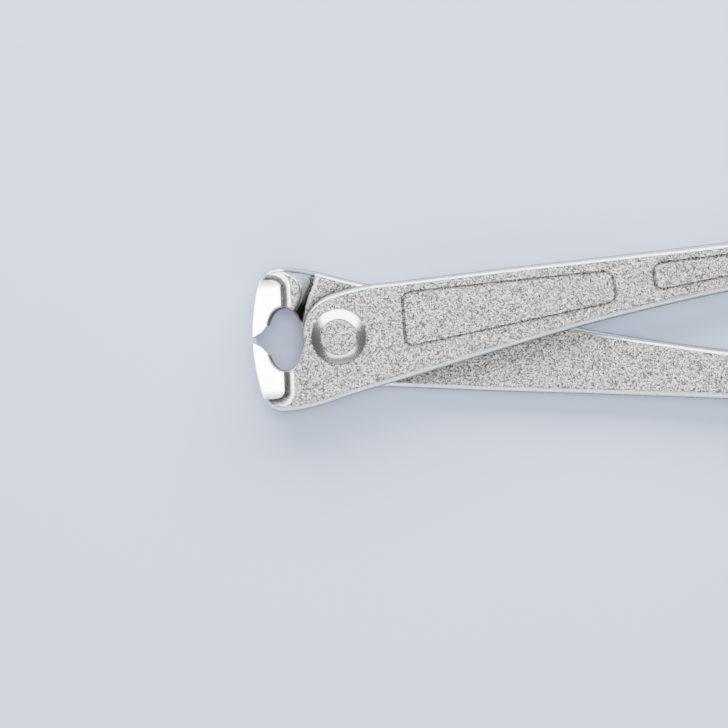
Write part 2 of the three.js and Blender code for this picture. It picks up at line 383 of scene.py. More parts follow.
def lever_outline():
    """The lever's loop at its parting line, and each point's inset, edge radius and ground mask"""
    bowl_end = (
        BOWL["x"] + BOWL["half_length"] * math.cos(BOWL["boss_angle"]),
        BOWL["half_width"] * math.sin(BOWL["boss_angle"]),
    )
    front_face = bezier(TIP, FRONT_FACE_BULGE, FRONT_FACE_FOOT, FRONT_FACE_SHARE)
    corner = bezier(front_face[-1], JAW_CORNER, JAW_FLANK[0])
    r = GRIP_END["radius"]
    grip = arc(GRIP_END["x"], GRIP_END["y"], r, r, -math.pi / 2, math.pi / 2)
    r = BOSS["radius"]
    boss = arc(BOSS["x"], BOSS["y"], r, r, BOSS["start"], BOSS["end"])
    length, width = BOWL["half_length"], BOWL["half_width"]
    bowl = arc(BOWL["x"], 0, length, width, BOWL["boss_angle"], BOWL["edge_angle"])
    lower_edge = spline(JAW_FLANK + handle_edge(-1) + [tuple(grip[0])])
    upper_edge = spline([tuple(grip[-1])] + handle_edge(1)[::-1] + BOSS_SHOULDER + [tuple(boss[0])])
    boss_flank = spline([tuple(boss[-1])] + BOSS_FLANK + [bowl_end])
    bevel = straight(CUTTING_BEVEL, TIP)
    bevel_root = straight(bowl[-1], CUTTING_BEVEL)

    fine = graded(OUTLINE_SPACING)
    forged = level(FACE_INSET["forged"])
    boss_front = level(FACE_INSET["boss_front"])
    ground_inset = level(FACE_INSET["ground"])
    corner_x = front_face[-1][0]
    corner_inset = graded([(corner_x, corner_x + CORNER_FADE), (0.0, FACE_INSET["forged"])])
    stretches = [  # the curve, its points' spacing, the inset, the edge radius, and 1 where it is ground
        (front_face, fine, ground_inset, level(EDGE_RADIUS["front_face"]), 1),
        (corner, fine, corner_inset, level(EDGE_RADIUS["head"]), 0),
        (lower_edge, fine, forged, graded(FORGED_RADIUS), 0),
        (grip, level(GRIP_SPACING), forged, graded(FORGED_RADIUS), 0),
        (upper_edge, fine, forged, graded(FORGED_RADIUS), 0),
        (boss, fine, graded(BOSS_INSET), graded(BOSS_RADIUS), 0),
        (boss_flank, fine, boss_front, level(EDGE_RADIUS["boss_front"]), 0),
        (bowl, fine, graded(BOWL_INSET), graded(BOWL_RADIUS), 0),
        (bevel_root, fine, ground_inset, level(EDGE_RADIUS["bevel_root"]), 1),
        (bevel, fine, ground_inset, level(EDGE_RADIUS["cutting_edge"]), 1),
    ]
    rows = []
    for curve, spacing, inset_at, radius_at, is_ground in stretches:
        points = resampled(curve, spacing)
        x = points[:, 0]
        rows.append(np.column_stack([points, inset_at(x), radius_at(x), np.full_like(x, is_ground)]))
    rows = np.vstack(rows)
    return rows[:, :2], rows[:, 2], rows[:, 3], rows[:, 4]


def island_distance(x, y):
    """How far a point lies outside the ground flat, and how much of that is past its outer end"""
    r = ISLAND["corner"]
    past_x = x - (ISLAND["inner_x"] - r)
    past_y = (ISLAND["outer_y"] + r) - y
    away = np.hypot(np.maximum(past_x, 0), np.maximum(past_y, 0))
    distance = away + np.minimum(np.maximum(past_x, past_y), 0) - r
    outer_share = np.maximum(past_y, 0) / np.maximum(away, 1e-6)
    return distance, outer_share


def island_slope_distance(x, y):
    """The distance from the ground flat that sets its slope's height, which runs out further outwards"""
    distance, outer_share = island_distance(x, y)
    return distance / (1 + ISLAND["outer_stretch"] * outer_share)


def island_rise(x, y):
    """How far the face stands proud of the joint's, on the ground flat and on the slope round it"""
    return softened(island_slope_distance(x, y), ISLAND_RISE, ISLAND_ROUND)


def ground_mask(x, y):
    """1 on the ground flat, fading where the grinding runs out at the jaw's outer end"""
    distance, _ = island_distance(x, y)
    run_out = np.clip((y - ISLAND["outer_y"]) / ISLAND["ground_fade"], 0, 1)
    return np.clip(-distance / GROUND_EDGE, 0, 1) * run_out ** 0.6


def rubbed_mask(x, y, is_top):
    """Share of tumbling polish on the slope below the flat, on the shoulder and just past its foot, with a
    painted highlight on the wall's outer end
    """
    ramp = POLISH["ramp"] * band(island_slope_distance(x, y), *RAMP)
    if is_top:
        return ramp
    behind, width = shoulder_place(x, y)
    past_foot = behind - width
    outer = np.clip((np.abs(y) - OUTER_END_FROM) / OUTER_END_FADE, 0, 1)
    return np.maximum.reduce([
        ramp * (behind < -0.8),
        POLISH["crest"] * band(behind, *RUBBED_CREST),
        # Polish and painted highlight on the wall's outer end, lightening it as if lit
        POLISH["outer_end_wear_and_highlight"] * outer * band(behind, 0, FAR) * band(past_foot, -FAR, -0.6),
        POLISH["past_foot"] * band(past_foot, *RUBBED_PAST_FOOT),
    ])


def joint_shade_mask(x, y, edge_distance):
    """Painted shade in the shoulder's wedge and along the other lever's edge, where shadow falls round the
    joint
    """
    behind, width = shoulder_place(x, y)
    past_foot = behind - width
    inner = np.clip((SHADE_WEDGE_END - np.abs(y)) / SHADE_WEDGE_FADE, 0, 1)
    wedge = inner * band(behind, 0.5, FAR) * np.clip(SHADE_PAST_FOOT - past_foot, 0, 1)
    foot = SHADE_ON_FOOT * band(past_foot, *SHADED_FOOT)
    edge_shade = np.clip(1 - edge_distance / SHADE_REACH, 0, 1) ** 2 * np.interp(x, *SHADE_ALONG) * (past_foot > 0)
    return np.maximum.reduce([wedge, foot, edge_shade])


def flat_end_shade_mask(x, y):
    """Painted shade at the outer end of the ground flat, for the dark reflection of its rolled-off end"""
    distance, outer_share = island_distance(x, y)
    return PAINTED_SHADE_STRENGTH["flat_end"] * band(distance, *FLAT_END_SHADE) * np.clip(outer_share * 2 - 0.6, 0, 1)


def wall_mask(x, y):
    """1 on the shoulder's wall"""
    behind, width = shoulder_place(x, y)
    return band(behind, 0.5, FAR) * band(behind - width, -FAR, 0)


def band(value, start, end):
    """1 between start and end, falling to 0 over a short way at both"""
    return np.clip((value - start) / MASK_EDGE + 0.5, 0, 1) * np.clip((end - value) / MASK_EDGE + 0.5, 0, 1)


def panel_line(corners, inset):
    """The middle of the line engraved round a panel, as a loop of points"""
    def towards(end, corner):
        return (end - corner) / np.linalg.norm(end - corner)

    corners = np.array(corners)
    pulled_in = []
    for before, corner, after in zip(np.roll(corners, 1, axis=0), corners, np.roll(corners, -1, axis=0)):
        pulled_in.append(corner + inset * (towards(before, corner) + towards(after, corner)))
    loop = []
    for before, corner, after in zip(pulled_in[-1:] + pulled_in, pulled_in, pulled_in[1:] + pulled_in[:1]):
        start = corner + PANEL_ROUND * towards(before, corner)
        end = corner + PANEL_ROUND * towards(after, corner)
        if loop:
            loop.append(resampled(straight(loop[-1][-1], start), level(GROOVE_SPACING)))
        loop.append(bezier(start, corner, end)[::20])
    loop.append(resampled(straight(loop[-1][-1], loop[0][0]), level(GROOVE_SPACING)))
    return np.vstack(loop)


def panel_lines(sizes):
    return [panel_line(corners, sizes.groove_width / MM / 2) for corners in (LONG_PANEL, SHORT_PANEL)]


def groove_share(points, lines, sizes):
    """1 on the floor of an engraved line, 0 on the face beside it"""
    half_width = sizes.groove_width / MM / 2
    share = np.zeros(len(points))
    near = (points[:, 0] > LONG_PANEL[0][0] - 1) & (points[:, 0] < SHORT_PANEL[1][0] + 1)
    if near.any():
        distance = nearest_distance(points[near], np.vstack(lines))
        across = np.clip(distance / (GROOVE_FLANK * half_width), 0, 1)
        share[near] = np.cos(across * math.pi / 2) ** 0.8
    return share


def front_height(x, y):
    return softened(x, OUTER_FACE, OUTER_ROUND) + island_rise(x, y)


def shoulder_lines(y):
    """X of the shoulder's crest and of its foot"""
    return [softened(np.abs(y), line, SHOULDER_PLAN_ROUND) for line in (SHOULDER_CREST, SHOULDER_FOOT)]


def shoulder_place(x, y):
    """Distance of a point behind the shoulder's crest, and the width from crest to foot there"""
    crest, foot = shoulder_lines(y)
    return x - crest, foot - crest


def back_height(x, y):
    behind, width = shoulder_place(x, y)
    reach = np.linspace(-SHOULDER_ROUND, SHOULDER_ROUND, 9)
    down = np.mean([np.clip((behind + d) / width, 0, 1) for d in reach], axis=0)
    block = -(HALF_JOINT + island_rise(x, y))
    return block * (1 - down) + softened(x, INNER_FACE, INNER_ROUND) * down


def island_rows():
    """Rows of points that follow the border of the ground flat"""
    r = ISLAND["corner"]
    corner_x, corner_y = ISLAND["inner_x"] - r, ISLAND["outer_y"] + r
    rows = []
    for offset in ISLAND_ROWS:
        side = [(corner_x + r + offset, y) for y in np.arange(0, corner_y, -ROW_SPACING)]
        turn = arc(corner_x, corner_y, r + offset, r + offset, 0, -math.pi / 2)[::32]
        stretched = offset * (1 + ISLAND["outer_stretch"])
        end_x = np.arange(corner_x - 0.4, FIELD_STEPS[0][0], -FLAT_END_SPACING)
        end = [(x, corner_y - r - stretched) for x in end_x]
        rows += side + list(map(tuple, turn)) + end
    return np.array(rows)


def shoulder_rows():
    """Rows of points that follow the shoulder from its crest to its foot"""
    y = np.arange(-19.2, -2.0, ROW_SPACING)
    crest, foot = shoulder_lines(y)
    before = [crest - d for d in (0.9, 0.6, 0.3)]
    wall = [crest + share * (foot - crest) for share in np.linspace(0, 1, 9)]
    after = [foot + d for d in (0.3, 0.6, 1.0)]
    return np.vstack([np.stack([x, y], axis=1) for x in before + wall + after])


def groove_rows(lines, sizes):
    """Rows of points along the engraved lines and across their flanks"""
    half_width = sizes.groove_width / MM / 2
    return np.vstack([line + outward(line) * share * half_width for line in lines for share in GROOVE_ROWS])


def field_points(ring, kept_clear):
    """An even field of points inside the ring, finer at the head, and clear of the given rows"""
    field = []
    for start, end, step in FIELD_STEPS:
        columns = np.arange(start, end, step)
        for i, x in enumerate(columns):
            y = np.arange(-21, 31, step) + (i % 2) * step / 2
            field.append(np.stack([np.full_like(y, x), y, np.full_like(y, step)], axis=1))
    field = np.vstack(field)
    field = field[inside(field[:, :2], ring)]
    return field[nearest_distance(field[:, :2], kept_clear) > FIELD_CLEARANCE * field[:, 2], :2]


def seat_rows():
    """Rows of points round the rivet's head"""
    return np.vstack([circle(HEAD_RADIUS + step)[::4] for step in SEAT_STEPS])


def face_mesh(ring, shelf, bore, rows):
    """The points of a face, and the triangles between the ring and the bore. The ring's come first"""
    rows = rows[nearest_distance(rows, shelf) > ROW_CLEARANCE]
    rows = np.vstack([shelf, rows])
    rows = rows[inside(rows, ring)]
    rows = rows[nearest_distance(rows, ring) > ROW_CLEARANCE]
    rows = rows[np.hypot(rows[:, 0], rows[:, 1]) > BORE_RADIUS + BORE_CLEARANCE]
    field = field_points(ring, np.vstack([ring, bore, rows]))
    field = field[np.hypot(field[:, 0], field[:, 1]) > BORE_RADIUS + BORE_CLEARANCE]
    points = np.vstack([ring, bore, rows, field])
    bore_edges = [(len(ring) + i, len(ring) + (i + 1) % len(bore)) for i in range(len(bore))]
    found, _, triangles, sources, _, _ = delaunay_2d_cdt(
        [Vector(p) for p in points], bore_edges, [list(range(len(ring)))], 1, 1e-6
    )
    placed = np.array([p[:] for p in found])
    kept = [t for t in triangles if np.hypot(*placed[list(t)].mean(axis=0)) > BORE_RADIUS - BORE_SLACK]
    source = [s[0] for s in sources]
    return points, [[source[i] for i in t] for t in kept]


def lever_mesh(sizes):
    """Vertices in millimetres, faces, and the masks on the points of the forging"""
    loop, inset, radius, ground = lever_outline()
    normal = outward(loop)
    count = len(loop)
    flash = sizes.flash_height / MM * (1 - ground)
    rough_ring = loop - normal * (inset + radius * EDGE_SETTLE)[:, None]
    top = front_height(*rough_ring.T)
    bottom = back_height(*rough_ring.T)
    window = np.hanning(PARTING_WINDOW)
    middle = np.pad((top + bottom) / 2, PARTING_WINDOW // 2, mode="wrap")
    parting = np.convolve(middle, window / window.sum(), mode="valid")

    def edge_rows(face, side):
        """Rows from the wall up onto a face: their insets and heights, out to in"""
        height = np.abs(face - parting)
        lean = np.arctan2(inset, height)
        start = (height - radius * (1 - np.sin(lean))) * np.tan(lean)
        rows = []
        for share in np.linspace(0, 1, len(EDGE_POLISH)):
            angle = lean + share * (math.pi / 2 - lean)
            rise = height - radius * (1 - np.sin(angle))
            rows.append((start + radius * (np.cos(lean) - np.cos(angle)), parting + side * rise))
        return rows

    ring_inset = edge_rows(top, 1)[-1][0]
    top = front_height(*(loop - normal * ring_inset[:, None]).T)
    ring_inset = edge_rows(bottom, -1)[-1][0]
    bottom = back_height(*(loop - normal * ring_inset[:, None]).T)
    upper, lower = edge_rows(top, 1), edge_rows(bottom, -1)
    waist = [
        (flash, parting - FLASH_TOE),
        (np.zeros(count), parting - FLASH_CREST),
        (np.zeros(count), parting + FLASH_CREST),
        (flash, parting + FLASH_TOE),
    ]
    rows = lower[::-1] + waist + upper
    wall = [np.column_stack([loop - normal * row_inset[:, None], height]) for row_inset, height in rows]
    faces = []
    for low in range(len(rows) - 1):
        for i in range(count):
            j = (i + 1) % count
            faces.append([low * count + i, low * count + j, (low + 1) * count + j, (low + 1) * count + i])
    vertices = list(np.vstack(wall))

    def by_row(edge, waist_value):
        """Mask values of the wall's rows, from the lower edge over the flash to the upper edge"""
        return edge + (waist_value,) * len(waist) + edge[::-1]

    ground_values = list(np.concatenate([np.maximum(ground, share) for share in by_row(EDGE_POLISH, 0.0)]))
    # Painted shade for a thin dark line where the face meets the rounded edge; the flash is darkened too
    painted_shade_values = list(np.outer(by_row(EDGE_PAINTED_SHADE, WAIST_DARKENING), 1 - ground).ravel())
    dull_values = list(np.outer(by_row(EDGE_DULLNESS, 1.0), 1 - ground).ravel())

    bore = circle(BORE_RADIUS)[::6]
    lines = panel_lines(sizes)
    bore_starts = []
    for is_top in (True, False):
        ring_row = len(rows) - 1 if is_top else 0
        ring = wall[ring_row][:, :2]
        shelf = np.vstack([ring - normal * step for step in SHELF_STEPS])
        side_rows = [seat_rows(), groove_rows(lines, sizes)] if is_top else [shoulder_rows()]
        points, triangles = face_mesh(ring, shelf, bore, np.vstack([island_rows()] + side_rows))
        x, y = points[count:].T
        if is_top:
            share = groove_share(points[count:], lines, sizes)
            height = front_height(x, y) - share * sizes.groove_depth / MM
            # Painted shade in the engraved lines and round the rivet's head, where shadow falls
            seat = band(np.hypot(x, y), *SEAT_SHADE)
            painted_shade = np.maximum(PAINTED_SHADE_STRENGTH["groove"] * share, PAINTED_SHADE_STRENGTH["rivet_seat"] * seat)
            dull = np.zeros(len(x))
        else:
            height = back_height(x, y)
            # Painted shade round the joint, where shadow falls in the wedge and along the other lever's
            # edge
            painted_shade = joint_shade_mask(x, y, nearest_distance(points[count:], loop * (1, -1)))
            dull = wall_mask(x, y)
        start = len(vertices)
        bore_starts.append(start)
        vertices += list(np.column_stack([x, y, height]))
        ground_values += list(np.maximum(ground_mask(x, y), rubbed_mask(x, y, is_top)))
        painted_shade_values += list(np.maximum(painted_shade, flat_end_shade_mask(x, y)))
        dull_values += list(dull)
        for triangle in triangles:
            corners = [ring_row * count + i if i < count else start + i - count for i in triangle]
            faces.append(corners if is_top else corners[::-1])
    front, back = bore_starts
    for i in range(len(bore)):
        j = (i + 1) % len(bore)
        faces.append([front + i, back + i, back + j, front + j])
    masks = {"ground": ground_values, "painted_shade": painted_shade_values, "dull": dull_values}
    return np.array(vertices), faces, {name: np.array(values) for name, values in masks.items()}


def rivet_profile():
    """Radius and height from the foot of the lower head to the top of the upper one"""
    seat = HALF_JOINT + HEAD_SEAT
    rise = HEAD_TOP - HEAD_STEP - seat - HEAD_RIM
    upper = [(SHANK_RADIUS, 0), (SHANK_RADIUS, seat), (HEAD_RADIUS, seat)]
    for share in np.linspace(0, 1, 14):
        crowned = (1 - HEAD_CROWN) * share + HEAD_CROWN * math.sin(share * math.pi / 2)
        radius = HEAD_RADIUS - (HEAD_RADIUS - HEAD_FLAT_RADIUS) * share
        upper.append((radius, seat + HEAD_RIM + rise * crowned))
    upper += [(HEAD_FLAT_RADIUS - inset, HEAD_TOP - drop) for inset, drop in FLAT_ROUND]
    upper.append((0, HEAD_TOP))
    lower = [(r, -z) for r, z in upper[:0:-1]]
    return lower + upper


def new_mesh_object(name, vertices, faces, masks):
    """A mesh object in the row frame, made from points in the tool's frame, with masks on its points"""
    mesh = bpy.data.meshes.new(name)
    placed = np.array(vertices) * MM + np.array(PIVOT)
    mesh.from_pydata(placed.tolist(), [], faces)
    for mask_name, values in masks.items():
        mask = mesh.attributes.new(mask_name, "FLOAT", "POINT")
        mask.data.foreach_set("value", values.astype(np.float32))
    mesh.validate()
    piece = bpy.data.objects.new(name, mesh)
    bpy.context.scene.collection.objects.link(piece)
    return piece


def smooth_shaded(piece, angle):
    """Shade the piece smooth, but for edges that bend by more than that many degrees"""
    piece.data.shade_smooth()
    piece.data.set_sharp_from_angle(angle=math.radians(angle))


# ---------------------------------------------------------------- nodes


def add_node(tree, kind, settings=None, inputs=None):
    """Add one node with its settings. Each input is a value or the socket that feeds it"""
    node = tree.nodes.new(kind)
    for name, value in (settings or {}).items():
        setattr(node, name, value)
    for key, value in (inputs or {}).items():
        if isinstance(value, bpy.types.NodeSocket):
            tree.links.new(value, node.inputs[key])
        else:
            node.inputs[key].default_value = value
    return node


def new_geometry_tree(name, inputs):
    """A geometry node tree with named inputs, and its input and output nodes"""
    tree = bpy.data.node_groups.new(name, "GeometryNodeTree")
    tree.interface.new_socket("Geometry", in_out="INPUT", socket_type="NodeSocketGeometry")
    tree.interface.new_socket("Geometry", in_out="OUTPUT", socket_type="NodeSocketGeometry")
    for input_name, kind in inputs:
        tree.interface.new_socket(input_name, in_out="INPUT", socket_type=kind)
    return tree, add_node(tree, "NodeGroupInput"), add_node(tree, "NodeGroupOutput")


def finished_tree(tree, given, result, shape):
    """The tree, ended with real geometry that has its material"""
    realized = add_node(tree, "GeometryNodeRealizeInstances", inputs={0: shape.outputs[0]})
    finished = add_node(tree, "GeometryNodeSetMaterial",
                        inputs={"Geometry": realized.outputs[0], "Material": given.outputs["Finish"]})
    tree.links.new(finished.outputs[0], result.inputs[0])
    return tree


def built_by_nodes(name, host_mesh, tree, values):
    """The plain mesh object that a geometry node tree makes from a host mesh"""
    host = bpy.data.objects.new(name, host_mesh)
    bpy.context.scene.collection.objects.link(host)
    modifier = host.modifiers.new("Build", "NODES")
    modifier.node_group = tree
    for item in tree.interface.items_tree:
        if item.in_out == "INPUT" and item.name in values:
            modifier[item.identifier] = values[item.name]
    evaluated = host.evaluated_get(bpy.context.evaluated_depsgraph_get())
    result = bpy.data.meshes.new_from_object(evaluated)
    host.modifiers.remove(modifier)
    host.data = result
    result.name = name
    return host


def half_turn_tree():
    """Turns a forging about the tool's long axis, at the height of the joint"""
    inputs = [
        ("Turn", "NodeSocketFloat"),
        ("Joint Height", "NodeSocketFloat"),
        ("Finish", "NodeSocketMaterial"),
    ]
    tree, given, result = new_geometry_tree("Turned Forging", inputs)
    rotation = add_node(tree, "ShaderNodeCombineXYZ", inputs={"X": given.outputs["Turn"]})
    height = add_node(tree, "ShaderNodeCombineXYZ", inputs={"Z": given.outputs["Joint Height"]})
    down = add_node(tree, "ShaderNodeVectorMath", {"operation": "SCALE"},
                    {0: height.outputs[0], "Scale": -1.0})
    lowered = add_node(tree, "GeometryNodeTransform",
                       inputs={"Geometry": given.outputs["Geometry"], "Translation": down.outputs[0]})
    turned = add_node(tree, "GeometryNodeTransform", inputs={
        "Geometry": lowered.outputs[0],
        "Rotation": rotation.outputs[0],
        "Translation": height.outputs[0],
    })
    return finished_tree(tree, given, result, turned)


def lathe_tree():
    """Sweeps a profile, whose X is the radius and Y the height, round the rivet's axis"""
    inputs = [
        ("Ring Radius", "NodeSocketFloat"),
        ("Segments", "NodeSocketInt"),
        ("Axis Place", "NodeSocketVector"),
        ("Finish", "NodeSocketMaterial"),
    ]
    tree, given, result = new_geometry_tree("Turned Rivet", inputs)
    ring = add_node(tree, "GeometryNodeCurvePrimitiveCircle", inputs={
        "Resolution": given.outputs["Segments"],
        "Radius": given.outputs["Ring Radius"],
    })
    profile = add_node(tree, "GeometryNodeMeshToCurve", inputs={"Mesh": given.outputs["Geometry"]})
    swept = add_node(tree, "GeometryNodeCurveToMesh",
                     inputs={"Curve": ring.outputs[0], "Profile Curve": profile.outputs[0]})
    closed = add_node(tree, "GeometryNodeMergeByDistance",
                      inputs={"Geometry": swept.outputs[0], "Distance": 0.001 * MM})
    placed = add_node(tree, "GeometryNodeTransform",
                      inputs={"Geometry": closed.outputs[0], "Translation": given.outputs["Axis Place"]})
    return finished_tree(tree, given, result, placed)


# ---------------------------------------------------------------- materials


def per_metre(size_mm):
    """Texture scale whose cells are that size"""
    return 1 / (size_mm * MM)


def new_material(name):
    material = bpy.data.materials.new(name)
    material.use_nodes = True
    material.node_tree.nodes.clear()
    return material, material.node_tree


def mixed_value(tree, share, first, second):
    """The first value where share is 0, and the second where it is 1"""
    settings = {"data_type": "FLOAT"}
    return add_node(tree, "ShaderNodeMix", settings, {0: share, 2: first, 3: second}).outputs[0]


def mixed_colour(tree, share, first, second, blend_type="MIX"):
    """The first colour where share is 0, and the second, or their product, where it is 1"""
    settings = {"data_type": "RGBA", "blend_type": blend_type}
    return add_node(tree, "ShaderNodeMix", settings, {0: share, 6: first, 7: second}).outputs[2]


def blasted_skin(tree, place, zinc, smooth):
    """The colour and the normal of plated, shot-blasted steel. Both are plain where smooth is 1"""
    # Steel shot leaves round dimples that overlap, and each of them shines its own way: a glint painted
    # into its colour
    dimples = add_node(tree, "ShaderNodeTexVoronoi",
                       inputs={"Vector": place, "Scale": per_metre(DIMPLE_SPACING)})
    # Grit among the shot breaks up the dimples' rims, in marks of its size, half of it and a quarter
    grit = add_node(tree, "ShaderNodeTexNoise", inputs={
        "Vector": place,
        "Scale": per_metre(GRIT_SIZE),
        "Detail": 2.0,
        "Roughness": 0.7,
    })
    height = add_node(tree, "ShaderNodeMath", {"operation": "MULTIPLY_ADD"},
                      {0: grit.outputs[0], 1: GRIT_SHARE, 2: dimples.outputs["Distance"]})
    calm_height = mixed_value(tree, smooth, height.outputs[0], SMOOTH_HEIGHT)
    normal = add_node(tree, "ShaderNodeBump", inputs={"Distance": DIMPLE_DEPTH * MM, "Height": calm_height})
    shade = add_node(tree, "ShaderNodeSeparateColor", inputs={"Color": dimples.outputs["Color"]})
    # Few of the dimples face the light, so the painted glint's spread leans towards the dark ones
    rarer = add_node(tree, "ShaderNodeMath", {"operation": "POWER"}, {0: shade.outputs[0], 1: 2.0})
    glint = add_node(tree, "ShaderNodeMapRange", inputs={"Value": rarer.outputs[0], **GLINT})
    colour = mixed_colour(tree, 1.0, (*zinc, 1), glint.outputs[0], "MULTIPLY")
    return colour, normal.outputs[0]


def zinc_plated_blasted_forging(finishes):
    """Bright zinc over a shot-blasted drop forging: a fine hammered grain with a satin sheen"""
    material, tree = new_material("zinc_plated_blasted_forging")
    place = add_node(tree, "ShaderNodeTexCoord").outputs["Object"]
    ground = add_node(tree, "ShaderNodeAttribute", {"attribute_name": "ground"}).outputs["Fac"]
    # Painted shade: the mask of where shadow in the grooves, round the joint and along the edges is painted
    # dark
    painted_shade = add_node(tree, "ShaderNodeAttribute", {"attribute_name": "painted_shade"}).outputs["Fac"]
    dull = add_node(tree, "ShaderNodeAttribute", {"attribute_name": "dull"}).outputs["Fac"]
    plated, blasted = blasted_skin(tree, place, finishes.zinc, ground)
    # Broad unevenness of the die and of the hammered skin
    waves = add_node(tree, "ShaderNodeTexNoise",
                     inputs={"Vector": place, "Scale": per_metre(WAVE_SIZE), "Detail": 2.0})
    waved = add_node(tree, "ShaderNodeBump", inputs={
        "Strength": 0.35,
        "Distance": WAVE_DEPTH * MM,
        "Height": waves.outputs[0],
        "Normal": blasted,
    })
    # Grinding marks run along the jaw, across the tool. Real ones are finer, and would not show
    stretched = add_node(tree, "ShaderNodeMapping", inputs={"Vector": place, "Scale": (1.0, 0.03, 1.0)})
    marks = add_node(tree, "ShaderNodeTexNoise", inputs={
        "Vector": stretched.outputs[0],
        "Scale": per_metre(GRINDING_SPACING),
        "Detail": 1.0,
    })
    scratches = add_node(tree, "ShaderNodeMath", {"operation": "MULTIPLY"},
                         {0: marks.outputs[0], 1: ground})
    normal = add_node(tree, "ShaderNodeBump", inputs={
        "Strength": 0.25,
        "Distance": GRINDING_DEPTH * MM,
        "Height": scratches.outputs[0],
        "Normal": waved.outputs[0],
    })
    polished = mixed_colour(tree, ground, plated, (*finishes.ground_steel, 1))
    # Painted shade darkens the colour where its mask says
    shade_painted = mixed_colour(tree, painted_shade, polished, (*finishes.painted_shade, 1))
    worn = add_node(tree, "ShaderNodeMapRange", inputs={
        "Value": waves.outputs[0],
        "From Min": 0.3,
        "From Max": 0.7,
        **FORGED_ROUGHNESS,
    })
    # Grinding and tumbling shine a surface up, and nothing has rubbed the forging's sides
    fine = mixed_value(tree, ground, worn.outputs[0], GROUND_ROUGHNESS)
    roughness = mixed_value(tree, dull, fine, DULL_ROUGHNESS)
    shader = add_node(tree, "ShaderNodeBsdfPrincipled", inputs={
        "Base Color": shade_painted,
        "Metallic": 1.0,
        "Roughness": roughness,
        "Normal": normal.outputs[0],
    })
    add_node(tree, "ShaderNodeOutputMaterial", inputs={"Surface": shader.outputs[0]})
    return material


def zinc_plated_formed_rivet(finishes):
    """Bright zinc over a pressed rivet head: a blasted flat inside a smooth, shiny bevel"""
    material, tree = new_material("zinc_plated_formed_rivet")
    place = add_node(tree, "ShaderNodeTexCoord").outputs["Object"]
    # The punch left the bevel smooth, so the grain stops at the edge of the flat
    centred = add_node(tree, "ShaderNodeMapping", {"vector_type": "TEXTURE"},
                       {"Vector": place, "Location": PIVOT, "Scale": (1, 1, 1e6)})
    radius = add_node(tree, "ShaderNodeVectorMath", {"operation": "LENGTH"}, {0: centred.outputs[0]})
    bevel = add_node(tree, "ShaderNodeMapRange", inputs={
        "Value": radius.outputs["Value"],
        "From Min": (HEAD_FLAT_RADIUS - 0.1) * MM,
        "From Max": (HEAD_FLAT_RADIUS + 0.2) * MM,
    })
    plated, blasted = blasted_skin(tree, place, finishes.zinc, bevel.outputs[0])
    polished = mixed_colour(tree, bevel.outputs[0], plated, (*finishes.ground_steel, 1))
    # A thin painted shadow line round the flat, at the step that the punch left
    punch_line = add_node(tree, "ShaderNodeMath", {"operation": "COMPARE"}, {
        0: radius.outputs["Value"],
        1: HEAD_FLAT_RADIUS * MM,
        2: PUNCH_LINE_HALF_WIDTH * MM,
    })
    punch_shade = add_node(tree, "ShaderNodeMath", {"operation": "MULTIPLY"},
                     {0: punch_line.outputs[0], 1: PUNCH_LINE_SHADE})
    shade_painted = mixed_colour(tree, punch_shade.outputs[0], polished, (*finishes.painted_shade, 1))
    worn = add_node(tree, "ShaderNodeMapRange", inputs={"Value": bevel.outputs[0], **RIVET_ROUGHNESS})
    shader = add_node(tree, "ShaderNodeBsdfPrincipled", inputs={
        "Base Color": shade_painted,
        "Metallic": 1.0,
        "Roughness": worn.outputs[0],
        "Normal": blasted,
    })
    add_node(tree, "ShaderNodeOutputMaterial", inputs={"Surface": shader.outputs[0]})
    return material


def matte_laminate(finishes):
    """A pale laminate worktop: matte, with the faintest mottle"""
    material, tree = new_material("matte_laminate")
    place = add_node(tree, "ShaderNodeTexCoord").outputs["Object"]
    mottle = add_node(tree, "ShaderNodeTexNoise",
                      inputs={"Vector": place, "Scale": per_metre(MOTTLE_SIZE), "Detail": 3.0})
    shade = add_node(tree, "ShaderNodeMapRange",
                     inputs={"Value": mottle.outputs[0], "To Min": 0.985, "To Max": 1.0})
    colour = mixed_colour(tree, 1.0, (*finishes.floor, 1), shade.outputs[0], "MULTIPLY")
    shader = add_node(tree, "ShaderNodeBsdfPrincipled",
                      inputs={"Base Color": colour, "Roughness": LAMINATE_ROUGHNESS, "IOR": 1.5})
    add_node(tree, "ShaderNodeOutputMaterial", inputs={"Surface": shader.outputs[0]})
    return material


# ---------------------------------------------------------------- the stage


def add_floor(finishes):
    half = FLOOR_SIZE / 2
    mesh = bpy.data.meshes.new("floor")
    corners = [(-half, -half, 0), (half, -half, 0), (half, half, 0), (-half, half, 0)]
    mesh.from_pydata(corners, [], [(0, 1, 2, 3)])
    floor = bpy.data.objects.new("floor", mesh)
    floor.data.materials.append(matte_laminate(finishes))
    bpy.context.scene.collection.objects.link(floor)


def add_softbox(name, offset, size, power, colour):
    """A rectangular lamp that far from the joint and facing it, with its long side along X"""
    light = bpy.data.lights.new(name, "AREA")
    light.shape = "RECTANGLE"
    light.size, light.size_y = size
    light.energy = power
    light.color = linear_colour(colour)
    lamp = bpy.data.objects.new(name, light)
    lamp.location = PIVOT + Vector(offset)
    lamp.visible_camera = False
    lamp.rotation_euler = (PIVOT - lamp.location).to_track_quat("-Z", "Y").to_euler()
    bpy.context.scene.collection.objects.link(lamp)


def add_camera():
    """A long lens straight above the joint, rolled so that the tool rises a little to the right"""
    lens = bpy.data.cameras.new("camera")
    lens.lens = 135
    lens.sensor_width = 36
    camera = bpy.data.objects.new("camera", lens)
    camera.location = PIVOT + Vector(CAMERA_PLACE) * MM
    camera.rotation_euler = (0, 0, math.radians(CAMERA_ROLL))
    bpy.context.scene.collection.objects.link(camera)
    bpy.context.scene.camera = camera


